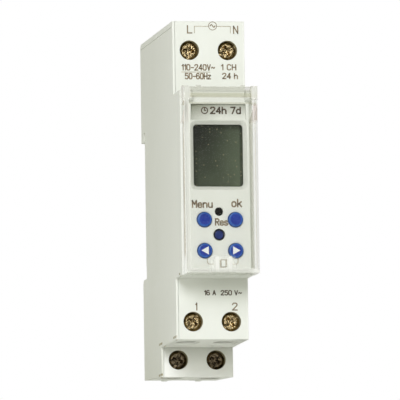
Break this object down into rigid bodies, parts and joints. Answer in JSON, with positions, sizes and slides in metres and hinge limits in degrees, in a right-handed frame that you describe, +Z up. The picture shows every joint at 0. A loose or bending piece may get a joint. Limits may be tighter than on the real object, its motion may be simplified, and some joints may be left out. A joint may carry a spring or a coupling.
{
  "type": "din rail timer",
  "caption": "One-module digital timer for a 35 mm DIN rail, with display, push buttons, clear hinged cover and rising-cage screw terminals.",
  "frame": {"origin": "middle of the flat seat that lies against the front of the DIN rail, on the rail's middle line", "axes": "+X across the width to the viewer's right, -Y out of the front face, +Y into the rail and the wall, +Z up along the height"},
  "size_m": [0.018, 0.066, 0.0852],
  "materials": {
    "housing_white": "fine moulded, near white",
    "clear_cover": "clear polycarbonate",
    "lcd": "dark grey-green liquid-crystal display",
    "button_blue": "moulded blue",
    "button_dark_blue": "moulded dark blue",
    "black_plastic": "moulded black",
    "component_dark": "dark blue case",
    "capacitor_yellow": "yellow box",
    "varistor_blue": "dipped coating",
    "resistor_grey": "lacquer",
    "circuit_board": "solder resist",
    "rubber": "banded silicone",
    "screw_brass": "yellow passivated, worn",
    "steel": "zinc plated",
    "copper": "tinned copper alloy"
  },
  "bodies": {
    "housing": {"housing_shell": "housing_white", "side_cover": "housing_white", "faceplate": "housing_white", "lcd_glass": "lcd", "lcd_frame": "housing_white", "zebra_top": "rubber", "zebra_bottom": "rubber", "display_board": "circuit_board", "main_board": "circuit_board", "board_connector": "black_plastic", "status_led": "black_plastic", "latch_spring": "steel", "relay": "component_dark", "film_capacitor": "capacitor_yellow", "electrolytic_capacitor": "component_dark", "varistor": "varistor_blue", "fusible_resistor": "resistor_grey", "bridge_rectifier": "black_plastic", "backup_battery": "steel", "microcontroller": "black_plastic", "crystal": "steel", "switch_menu": "steel", "switch_ok": "steel", "switch_left": "steel", "switch_right": "steel", "switch_reset": "steel", "bar_live": "copper", "bar_neutral": "copper", "bar_front_left": "copper", "bar_front_right": "copper", "bar_low_left": "copper", "bar_low_right": "copper"},
    "cover": {"flip_cover": "clear_cover"},
    "latch": {"din_latch": "housing_white"},
    "menu_key": {"button_menu": "button_blue", "plunger_menu": "black_plastic"},
    "ok_key": {"button_ok": "button_blue", "plunger_ok": "black_plastic"},
    "left_key": {"button_left": "button_blue", "plunger_left": "black_plastic"},
    "right_key": {"button_right": "button_blue", "plunger_right": "black_plastic"},
    "reset_key": {"button_reset": "button_dark_blue", "plunger_reset": "black_plastic"},
    "live_screw": {"screw_live": "screw_brass"},
    "live_cage": {"cage_live": "steel"},
    "neutral_screw": {"screw_neutral": "screw_brass"},
    "neutral_cage": {"cage_neutral": "steel"},
    "front_left_screw": {"screw_front_left": "screw_brass"},
    "front_left_cage": {"cage_front_left": "steel"},
    "front_right_screw": {"screw_front_right": "screw_brass"},
    "front_right_cage": {"cage_front_right": "steel"},
    "low_left_screw": {"screw_low_left": "screw_brass"},
    "low_left_cage": {"cage_low_left": "steel"},
    "low_right_screw": {"screw_low_right": "screw_brass"},
    "low_right_cage": {"cage_low_right": "steel"}
  },
  "joints": [
    {"name": "cover_hinge", "type": "hinge", "parent": "housing", "child": "cover", "pos_m": [0, -0.0566, 0.0207], "axis": [-1, 0, 0], "range_deg": [0, 120]},
    {"name": "latch_slide", "type": "slide", "parent": "housing", "child": "latch", "axis": [0, 0, -1], "range_m": [0, 0.004], "stiffness_N_per_m": 800, "springref_m": -0.003, "deforming": ["latch_spring"]},
    {"name": "menu_press", "type": "slide", "parent": "housing", "child": "menu_key", "axis": [0, 1, 0], "range_m": [0, 0.0005], "stiffness_N_per_m": 400, "springref_m": -0.0005},
    {"name": "ok_press", "type": "slide", "parent": "housing", "child": "ok_key", "axis": [0, 1, 0], "range_m": [0, 0.0005], "stiffness_N_per_m": 400, "springref_m": -0.0005},
    {"name": "left_press", "type": "slide", "parent": "housing", "child": "left_key", "axis": [0, 1, 0], "range_m": [0, 0.0005], "stiffness_N_per_m": 400, "springref_m": -0.0005},
    {"name": "right_press", "type": "slide", "parent": "housing", "child": "right_key", "axis": [0, 1, 0], "range_m": [0, 0.0005], "stiffness_N_per_m": 400, "springref_m": -0.0005},
    {"name": "reset_press", "type": "slide", "parent": "housing", "child": "reset_key", "axis": [0, 1, 0], "range_m": [0, 0.0005], "stiffness_N_per_m": 400, "springref_m": -0.0005},
    {"name": "live_cage_rise", "type": "slide", "parent": "housing", "child": "live_cage", "axis": [0, -1, 0], "range_m": [0, 0.0033]},
    {"name": "live_screw_turn", "type": "hinge", "parent": "housing", "child": "live_screw", "pos_m": [-0.0047, -0.0432, 0.03335], "axis": [0, 1, 0], "range_deg": [0, 2010]},
    {"name": "neutral_cage_rise", "type": "slide", "parent": "housing", "child": "neutral_cage", "axis": [0, -1, 0], "range_m": [0, 0.0033]},
    {"name": "neutral_screw_turn", "type": "hinge", "parent": "housing", "child": "neutral_screw", "pos_m": [0.0047, -0.0432, 0.03335], "axis": [0, 1, 0], "range_deg": [0, 2010]},
    {"name": "front_left_cage_rise", "type": "slide", "parent": "housing", "child": "front_left_cage", "axis": [0, -1, 0], "range_m": [0, 0.0033]},
    {"name": "front_left_screw_turn", "type": "hinge", "parent": "housing", "child": "front_left_screw", "pos_m": [-0.0047, -0.0432, -0.03305], "axis": [0, 1, 0], "range_deg": [0, 2010]},
    {"name": "front_right_cage_rise", "type": "slide", "parent": "housing", "child": "front_right_cage", "axis": [0, -1, 0], "range_m": [0, 0.0033]},
    {"name": "front_right_screw_turn", "type": "hinge", "parent": "housing", "child": "front_right_screw", "pos_m": [0.0047, -0.0432, -0.03305], "axis": [0, 1, 0], "range_deg": [0, 2010]},
    {"name": "low_left_cage_rise", "type": "slide", "parent": "housing", "child": "low_left_cage", "axis": [0, -1, 0], "range_m": [0, 0.0033]},
    {"name": "low_left_screw_turn", "type": "hinge", "parent": "housing", "child": "low_left_screw", "pos_m": [-0.0047, -0.0207, -0.04045], "axis": [0, 1, 0], "range_deg": [0, 2010]},
    {"name": "low_right_cage_rise", "type": "slide", "parent": "housing", "child": "low_right_cage", "axis": [0, -1, 0], "range_m": [0, 0.0033]},
    {"name": "low_right_screw_turn", "type": "hinge", "parent": "housing", "child": "low_right_screw", "pos_m": [0.0047, -0.0207, -0.04045], "axis": [0, 1, 0], "range_deg": [0, 2010]}
  ],
  "couplings": [
    {"joint": "live_screw_turn", "follows": "live_cage_rise", "rad_per_m": 10472},
    {"joint": "neutral_screw_turn", "follows": "neutral_cage_rise", "rad_per_m": 10472},
    {"joint": "front_left_screw_turn", "follows": "front_left_cage_rise", "rad_per_m": 10472},
    {"joint": "front_right_screw_turn", "follows": "front_right_cage_rise", "rad_per_m": 10472},
    {"joint": "low_left_screw_turn", "follows": "low_left_cage_rise", "rad_per_m": 10472},
    {"joint": "low_right_screw_turn", "follows": "low_right_cage_rise", "rad_per_m": 10472}
  ]
}
